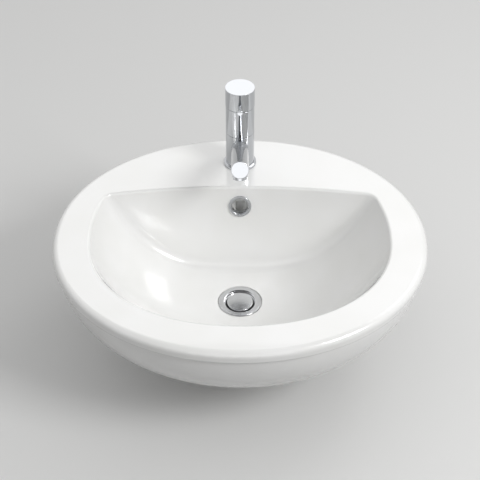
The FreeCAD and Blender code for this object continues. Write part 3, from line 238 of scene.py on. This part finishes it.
# %% [markdown]
# ## Pieces that are turned
# Nearly every fitting here is turned on a lathe or as good as that, so one helper makes them all. A half
# section is drawn as points, radius and height, its edges are broken by a small bevel as the real ones are,
# and a spin sweeps it round. 128 steps keep the outline round even in a close view, where the CAD solid's
# coarser mesh would show its corners in the chrome. Edges sharper than 32 degrees stay crisp. Each face
# counts by its area when the smooth shading is worked out, so a flat end stays flat up to its small bevel and
# mirrors one thing, not a bent picture. A copy of a CAD piece has its own helper: it takes over the
# directions that CAD's true surfaces have.

# %% Pieces that are turned
STEPS = 128
CRISP = math.radians(32)
WELD = mm(0.001)


def carry_directions(source, mesh):
    """Give a merged copy the shading directions that its source has at every corner."""
    centres = KDTree(len(source.polygons))
    for face in source.polygons:
        centres.insert(face.center, face.index)
    centres.balance()
    directions = [None] * len(mesh.loops)
    for face in mesh.polygons:
        corners = source.polygons[centres.find(face.center)[1]].loop_indices
        for loop in face.loop_indices:
            spot = mesh.vertices[mesh.loops[loop].vertex_index].co
            same = min(corners, key=lambda corner: (
                source.vertices[source.loops[corner].vertex_index].co - spot).length)
            directions[loop] = source.corner_normals[same].vector.copy()
    mesh.normals_split_custom_set(directions)


def dress(name, mesh, material, body, *nodes, source=None):
    """Make an object of a finished mesh: it rides on its body and stands for the CAD nodes."""
    piece = bpy.data.objects.new(name, mesh)
    bpy.context.scene.collection.objects.link(piece)
    mesh.materials.clear()
    mesh.materials.append(material)
    for face in mesh.polygons:
        face.use_smooth = True
    if source:
        carry_directions(source, mesh)
    else:
        mesh.set_sharp_from_angle(angle=CRISP)
        weigh = piece.modifiers.new("weigh", "WEIGHTED_NORMAL")
        weigh.keep_sharp = True
        piece.data = bpy.data.meshes.new_from_object(
            piece.evaluated_get(bpy.context.evaluated_depsgraph_get()))
        piece.modifiers.clear()
        piece.data.name = name
    if body:
        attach(piece, body)
    if nodes:
        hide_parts(*nodes)
    return piece


def section(bm, corners):
    """Draw a half section. Each corner is radius, height and, where the edge is broken, its rounding."""
    verts = [bm.verts.new((mm(corner[0]), 0, mm(corner[1]))) for corner in corners]
    for start, end in zip(verts, verts[1:]):
        bm.edges.new((start, end))
    if corners[0][0] > 0 or corners[-1][0] > 0:
        bm.edges.new((verts[-1], verts[0]))
    for vert, corner in zip(verts, corners):
        if len(corner) > 2:
            bmesh.ops.bevel(bm, geom=[vert], offset=mm(corner[2]), affect="VERTICES", segments=5,
                            profile=0.5, material=-1, offset_type="OFFSET")


def turned_mesh(name, corners, place):
    """Spin a half section about its own axis and put it in its place."""
    bm = bmesh.new()
    section(bm, corners)
    bmesh.ops.spin(bm, geom=bm.verts[:] + bm.edges[:], cent=(0, 0, 0), axis=(0, 0, 1), dvec=(0, 0, 0),
                   angle=2 * math.pi, steps=STEPS, use_merge=True, use_duplicate=False)
    bmesh.ops.remove_doubles(bm, verts=bm.verts, dist=WELD)
    bmesh.ops.recalc_face_normals(bm, faces=bm.faces)
    bmesh.ops.transform(bm, matrix=place, verts=bm.verts)
    mesh = bpy.data.meshes.new(name)
    bm.to_mesh(mesh)
    bm.free()
    return mesh


def turned(name, corners, place, material, body, *nodes):
    """A finished turned piece."""
    piece = dress(name, turned_mesh(name, corners, place), material, body, *nodes)
    print(name, len(piece.data.polygons), "faces")


def combine(mesh, tool, operation):
    """Join a mesh with a tool, or cut the tool from it, with Blender's exact boolean."""
    target = bpy.data.objects.new("target", mesh)
    helper = bpy.data.objects.new("helper", tool)
    for item in (target, helper):
        bpy.context.scene.collection.objects.link(item)
    change = target.modifiers.new("change", "BOOLEAN")
    change.object = helper
    change.operation = operation
    change.solver = "EXACT"
    graph = bpy.context.evaluated_depsgraph_get()
    result = bpy.data.meshes.new_from_object(target.evaluated_get(graph))
    for item in (target, helper):
        bpy.data.objects.remove(item)
    result.name = mesh.name
    return result


def rod(radius, low, high, place):
    """A plain round tool for a cut or a join, from low to high along its place's axis."""
    return turned_mesh("rod", [(0, low), (radius, low), (radius, high), (0, high)], place)


def block(width, depth, height, place):
    """A plain square tool for a cut or a join, with its middle at its place."""
    bm = bmesh.new()
    bmesh.ops.create_cube(bm, size=1, matrix=place @ Matrix.Diagonal((mm(width), mm(depth), mm(height), 1)))
    mesh = bpy.data.meshes.new("block")
    bm.to_mesh(mesh)
    bm.free()
    return mesh


# %% [markdown]
# ## The ceramic
# The basin's form has no axis: an oval slab, a belly, and a bowl whose back is a leaning wall. CAD has
# lofted it with smooth curves and a fine mesh, so there is no reason to model it twice. Its mesh is copied,
# the copies of its points are merged, and the shading follows the directions of CAD's own surfaces: round the
# overflow's hole the triangles are long and thin, and an average of their directions would draw streaks.

# %% The ceramic
def copied(node, material, body):
    """A merged copy of a CAD node, shaded with the directions that its true surfaces have."""
    bm = bmesh.new()
    bm.from_mesh(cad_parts[node].data)
    bmesh.ops.remove_doubles(bm, verts=bm.verts, dist=WELD)
    mesh = bpy.data.meshes.new(node)
    bm.to_mesh(mesh)
    bm.free()
    piece = dress(f"{node}_surface", mesh, material, body, node, source=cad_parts[node].data)
    print(piece.name, len(mesh.polygons), "faces")


copied("basin", vitreous_china, "fixed_parts")


# %% [markdown]
# ## The overflow's insert
# A chrome ring is pushed into the hole in the bowl's back wall. It is turned: a rounded face, a step down
# inside it and a short tube. The wall leans back by 13 degrees, so the ring's axis does too.

# %% The overflow's insert
WALL_LEAN = 13
along = 33
overflow_y = RIM_CENTRE + 115 - along * math.sin(math.radians(WALL_LEAN))
overflow_z = DECK - along * math.cos(math.radians(WALL_LEAN))
at_overflow = stand(overflow_y, overflow_z, 90 - WALL_LEAN)
turned("overflow_insert", [
    (12.8, -9), (14.2, -9), (14.2, 0.25), (17.5, 0.25), (17.5, 2.65, 0.8), (13.5, 2.65, 0.8), (13.5, 1.05),
    (12.8, 1.05, 0.2)], at_overflow, chrome_plate, "fixed_parts", "overflow_ring")


# %% [markdown]
# ## The waste
# The flange lies in a sunk round seat in the floor. Inside it is a dish, and in the dish the plug, a flat
# chrome disc with a softly rounded edge. The dark ring between them is a gap with a black rubber seal in
# it. The photograph shows the flange flat almost up to that gap, so its flat rim is drawn 4 mm wider than the
# CAD solid has it. Below the ceramic a threaded tube comes out: its thread is a ridge swept along a helix,
# which the spin makes when it climbs as it turns.

# %% The waste
THREAD_STEPS = 48
ROOT = 0.15


def threaded(name, core, crest, pitch, low, high, place, material, body):
    """An outside thread: a pointed ridge that climbs one pitch each turn, from low to high."""
    bm = bmesh.new()
    points = [(core - ROOT, 0), (core, 0.06 * pitch), (crest, 0.44 * pitch), (crest, 0.56 * pitch),
              (core, 0.94 * pitch), (core - ROOT, pitch)]
    verts = [bm.verts.new((mm(r), 0, mm(low + z))) for r, z in points]
    for start, end in zip(verts, verts[1:] + verts[:1]):
        bm.edges.new((start, end))
    turns = (high - low) / pitch - 1
    steps = int(turns * THREAD_STEPS)
    bmesh.ops.spin(bm, geom=bm.verts[:] + bm.edges[:], cent=(0, 0, 0), axis=(0, 0, 1),
                   dvec=(0, 0, mm(pitch) * turns / steps), angle=2 * math.pi * turns, steps=steps,
                   use_merge=False, use_duplicate=False)
    bmesh.ops.holes_fill(bm, edges=[e for e in bm.edges if e.is_boundary])
    bmesh.ops.recalc_face_normals(bm, faces=bm.faces)
    bmesh.ops.transform(bm, matrix=place, verts=bm.verts)
    mesh = bpy.data.meshes.new(name)
    bm.to_mesh(mesh)
    bm.free()
    dress(name, mesh, material, body)
    print(name, round(turns, 1), "turns")


pipe = turned_mesh("waste_pipe", [
    (25.5, 1, 0.5), (23.5, -0.2, 0.3), (23.5, -2.4), (18.3, -6.5), (18.3, -85), (20.05, -85), (20.05, -65),
    (19.95, -65), (19.95, -63), (20.05, -63), (20.05, -9), (26.2, -3.4), (26.2, -1.4), (33, -1.4),
    (33, 1, 1.2)], at_waste)
for join in (rod(9, -44, -38, at_waste), block(39, 5, 6, stand(WASTE, FLOOR - 41))):
    pipe = combine(pipe, join, "UNION")
for gap in (rod(4, -46, -36, at_waste), block(12, 84, 14, stand(WASTE, FLOOR - 27))):
    pipe = combine(pipe, gap, "DIFFERENCE")
dress("waste_flange_and_tube", pipe, waste_chrome, "fixed_parts", "waste_body")
threaded("waste_thread", 20.05, 20.95, 2.31, -84.8, -65.2, at_waste, waste_chrome, "fixed_parts")
turned("plug_disc", [
    (0, -7.2), (16, -7.2, 0.3), (16, -5.8), (14, -5.8), (14, -3.2), (20, -3.2), (20, 0.2, 0.7), (0, 0.2)],
    at_waste, waste_chrome, "plug", "plug_cap")
turned("plug_rubber", [
    (14, -5.8), (18.69, -5.8, 0.2), (21.98, -3.2, 0.2), (14, -3.2)],
    at_waste, black_rubber, "plug", "plug_seal")


# %% [markdown]
# ## The mixer's body
# The body is one brass casting: an upright column and a spout that rises forward from it, with a small boss
# on the spout's underside for the aerator. In the photograph the two cylinders meet in a crisp line with no
# fillet, so they are joined by a boolean, and the water ways are cut out in the same way.

# %% The mixer's body
SPOUT_RISE, SPOUT_ROOT, SPOUT_LENGTH = 21, 33.3, 141


def on_spout(distance, lean):
    """A place on the spout's axis, at a distance from the mixer's axis."""
    rise = math.radians(SPOUT_RISE)
    return stand(MIXER - distance * math.cos(rise), DECK + SPOUT_ROOT + distance * math.sin(rise), lean)


at_spout = on_spout(0, 90 - SPOUT_RISE)
at_aerator = on_spout(SPOUT_LENGTH - 14.5, 180 - SPOUT_RISE)
column = turned_mesh("column", [
    (0, 2), (22.1, 2), (22.1, 61, 0.25), (20.2, 61), (20.2, 106), (17.8, 106), (17.8, 70), (0, 70)], at_mixer)
spout = turned_mesh("spout", [(0, 0), (13.2, 0), (13.2, SPOUT_LENGTH, 0.9), (0, SPOUT_LENGTH)], at_spout)
casting = combine(column, spout, "UNION")
casting = combine(casting, rod(11.2, 0, 13.9, at_aerator), "UNION")
casting = combine(casting, rod(9.2, 9, 20, at_aerator), "DIFFERENCE")
casting = combine(casting, rod(7.5, 5, SPOUT_LENGTH - 4, at_spout), "DIFFERENCE")
casting = combine(casting, rod(6.5, 0, 12, at_aerator), "DIFFERENCE")
for aside in (-8.5, 8.5):
    port = Matrix.Translation((mm(aside), mm(1), 0)) @ at_mixer
    casting = combine(casting, rod(4.5, 0, 14, port), "DIFFERENCE")
at_stud = Matrix.Translation((0, mm(12.5), 0)) @ at_mixer
casting = combine(casting, rod(4.1, 0, 12, at_stud), "DIFFERENCE")
dress("mixer_casting", casting, chrome_plate, "fixed_parts", "mixer_body")
print("mixer casting", len(casting.polygons), "faces")


# %% [markdown]
# ## Base ring, sleeve and dome
# The column stands in a low ring with a sloped top, on a thin gasket that keeps it just off the deck. Above
# the fine joint, half way up, a separate sleeve hides the cartridge. The dome under the handle only shows
# as a shadow line in front, but from behind the handle's relief lets one see it.

# %% Base ring, sleeve and dome
turned("mixer_ring", [
    (19, 1), (23.8, 1), (23.8, 0.4), (25.5, 0.4, 0.2), (25.5, 3.4, 0.7), (22.2, 5, 0.3), (22.2, 2), (19, 2)],
    at_mixer, chrome_plate, "fixed_parts", "mixer_base_ring")
turned("mixer_sleeve", [
    (20.5, 61.4), (22.1, 61.4, 0.25), (22.1, 109, 0.4), (20.5, 109)],
    at_mixer, chrome_plate, "fixed_parts", "cartridge_sleeve")


def arc(radius, start, end, count):
    """Points of a half section on a circle round the lever's pivot, between two angles from level."""
    points = []
    for step in range(count + 1):
        angle = math.radians(start + (end - start) * step / count)
        points.append((radius * math.cos(angle), PIVOT + radius * math.sin(angle)))
    return points


OUTER, INNER, OPENING = 16.5, 14.7, 13.5
low_outer = math.degrees(math.asin(-0.4 / OUTER))
low_inner = math.degrees(math.asin(-3.4 / INNER))
top_outer = math.degrees(math.acos(OPENING / OUTER))
top_inner = math.degrees(math.acos(OPENING / INNER))
turned("handle_dome", [(20.4, 106), (20.4, 109)] + arc(OUTER, low_outer, top_outer, 16)
       + arc(INNER, top_inner, low_inner, 16), at_mixer, chrome_plate, "fixed_parts", "dome_cover")


# %% [markdown]
# ## The handle
# The handle is a short cylinder with a hollow over the dome. Its underside is cut away behind, so that it
# can tilt back. A thin pin is screwed into its front: that is the lever one pushes. The pin's end is flat
# with a fine broken edge and catches the light as a small white disc.

# %% The handle
drum = turned_mesh("handle_drum", [
    (0, 140.6), (22.55, 140.6, 0.4), (22.55, 109.8, 0.3)] + arc(17.4, 1.3, 90, 20), at_mixer)
REACH = 100
relief_tool = block(REACH, REACH, REACH, stand(MIXER, DECK + PIVOT, 24)
                    @ Matrix.Translation((0, mm(REACH) / 2, -mm(REACH) / 2)))
drum = combine(drum, relief_tool, "DIFFERENCE")
at_pin = stand(MIXER - 22.55, DECK + 118.5, 90 - 25)
drum = combine(drum, rod(4.1, -2.5, 4, at_pin), "DIFFERENCE")
drum = combine(drum, rod(2.6, 4, 40, stand(MIXER, DECK + 132, -90)), "DIFFERENCE")
dress("handle_drum", drum, chrome_plate, "lever_lift", "handle_cap")
turned("pin_lever", [
    (0, -6.5), (2.5, -6.5), (2.5, -2.5), (4, -2.5), (4, 48, 0.5), (0, 48)],
    at_pin, chrome_plate, "lever_lift", "handle_pin")
print("handle", len(drum.polygons), "faces")


# %% [markdown]
# ## The aerator
# The water leaves through an aerator: a chrome housing screwed into the boss, and in it a plastic insert
# with a grid of small square holes. From in front only a crescent of the housing shows under the spout.

# %% The aerator
turned("aerator_shell", [
    (8, 10.2), (9.1, 10.2), (9.1, 14), (10.3, 14, 0.3), (10.3, 17.7, 0.5), (7.2, 17.7, 0.2), (7.2, 17.2),
    (8, 17.2)], at_aerator, chrome_plate, "fixed_parts", "aerator_housing")


# %% [markdown]
# ## The pieces that stay as they are
# Seals, nuts, washers and the cartridge come straight from CAD. The ones that can be seen from below or
# through a gap get a smoothly shaded copy; the ones that are closed in just get their material.

# %% The pieces that stay as they are
seen = {
    "waste_lower_seal": black_rubber, "waste_washer": acetal, "waste_backnut": brass,
    "mixer_base_gasket": black_rubber, "horseshoe_gasket": black_rubber, "horseshoe_washer": steel,
    "fixing_nut": steel, "aerator_insert": acetal, "click_housing": acetal, "click_spring": spring_steel,
    "waste_flange_seal": black_rubber,
}
for node, material in seen.items():
    copied(node, material, "fixed_parts")
copied("handle_grub_screw", steel, "lever_lift")
turned("stud_core", [(0, -51), (3.4, -51, 0.3), (3.4, 12), (0, 12)],
       at_stud, steel, "fixed_parts", "fixing_stud")
threaded("stud_thread", 3.4, 4.0, 1.25, -50.8, 11, at_stud, steel, "fixed_parts")
closed_in = {
    "cartridge_seals": black_rubber, "cartridge_base": acetal, "fixed_disc": alumina, "moving_disc": alumina,
    "disc_coupler": acetal, "cartridge_housing": acetal, "cartridge_nut": cartridge_brass,
    "lever_carrier": acetal, "lever_pivot_pin": steel, "cartridge_stem": cartridge_brass,
    "aerator_seal": black_rubber, "plug_stem": brass,
}
for node, material in closed_in.items():
    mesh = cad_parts[node].data
    mesh.materials.clear()
    mesh.materials.append(material)
print("copied:", len(seen) + 1, "kept:", len(closed_in))


# %% [markdown]
# ## Floor and light
# A plain pale floor lies under the basin and runs on to the horizon. The light is a soft studio. A lamp high
# in front on the right leaves the right wall of the bowl in shade and throws the mixer's soft shadow to the
# left, and a weak one behind on the right evens out the rim. The sky fills the shadows from above and hardly
# from the horizon, and the floor sends back less light than it shows, so the belly stays in shade under the
# rim. Chrome has no colour of its own, so it needs things to reflect: the low front lamp is the white in the
# ends of the spout and the pin, and the one behind is the white in the handle's top. These two show only in
# reflections and don't light the ceramic. The sky that chrome reflects is white with a dark ceiling, which
# draws the dark lines down the mixer's middle.

# %% Floor and light
FLOOR_LEVEL = -209.2
floor_material, tree, surface = finish("pale_floor", Roughness=0.6)
path = add(tree, "ShaderNodeLightPath")
seen_floor = add(tree, "ShaderNodeMath", {0: path.outputs["Is Camera Ray"], 1: path.outputs["Is Glossy Ray"]},
                 operation="MAXIMUM")
tint = add(tree, "ShaderNodeValToRGB", {"Fac": seen_floor.outputs["Value"]})
tint.color_ramp.elements[0].color = colour("A4A4A4")
tint.color_ramp.elements[1].color = colour("DCDCDB")
tree.links.new(tint.outputs["Color"], surface.inputs["Base Color"])
bm = bmesh.new()
bmesh.ops.create_grid(bm, x_segments=1, y_segments=1, size=12,
                      matrix=Matrix.Translation((0, 0, mm(FLOOR_LEVEL))))
ground = bpy.data.meshes.new("floor")
bm.to_mesh(ground)
bm.free()
ground.materials.append(floor_material)
floor = bpy.data.objects.new("floor", ground)
bpy.context.scene.collection.objects.link(floor)

world = bpy.data.worlds.new("studio")
world.use_nodes = True
sky = world.node_tree.nodes["Background"]
sky.inputs["Color"].default_value = colour("F6F6F6")
up = add(world.node_tree, "ShaderNodeSeparateXYZ", {
    "Vector": add(world.node_tree, "ShaderNodeTexCoord").outputs["Generated"]})
soft = add(world.node_tree, "ShaderNodeMapRange", {
    "Value": up.outputs["Z"], "From Min": 0.25, "From Max": 0.45, "To Min": 0.1, "To Max": 0.75})
mirrored = add(world.node_tree, "ShaderNodeMapRange", {
    "Value": up.outputs["Z"], "From Min": 0.72, "From Max": 0.9, "To Min": 1.0, "To Max": 0.08})
path = add(world.node_tree, "ShaderNodeLightPath")
level = add(world.node_tree, "ShaderNodeMix", data_type="FLOAT")
world.node_tree.links.new(path.outputs["Is Glossy Ray"], level.inputs[0])
world.node_tree.links.new(soft.outputs["Result"], level.inputs[2])
world.node_tree.links.new(mirrored.outputs["Result"], level.inputs[3])
strength = add(world.node_tree, "ShaderNodeMath", {0: level.outputs[0], 1: path.outputs["Is Camera Ray"]},
               operation="MAXIMUM")
world.node_tree.links.new(strength.outputs["Value"], sky.inputs["Strength"])
bpy.context.scene.world = world


def lamp(name, where, towards, width, height, power):
    """A soft lamp, a glowing rectangle that faces a point. Its power is in watts."""
    data = bpy.data.lights.new(name, "AREA")
    data.shape = "RECTANGLE"
    data.size = width
    data.size_y = height
    data.energy = power
    item = bpy.data.objects.new(name, data)
    item.location = where
    item.rotation_euler = (Vector(towards) - Vector(where)).to_track_quat("-Z", "Y").to_euler()
    bpy.context.scene.collection.objects.link(item)
    print(name, power, "W")
    return item


middle = (0, mm(RIM_CENTRE), 0)
mixer_middle = (0, -0.1, 0.1)
lamp("front right", (2, -1.5, 2), middle, 1, 1, 44)
lamp("back right", (1.3, 0.9, 1.9), middle, 1, 1, 5)
for mirrored_lamp in (lamp("low front", (0, -3, 0.5), mixer_middle, 2.4, 1, 6),
                      lamp("behind", (0, 1.7, 1.5), mixer_middle, 2.2, 1, 5.5)):
    mirrored_lamp.visible_diffuse = False
bpy.context.scene.view_settings.view_transform = "Standard"
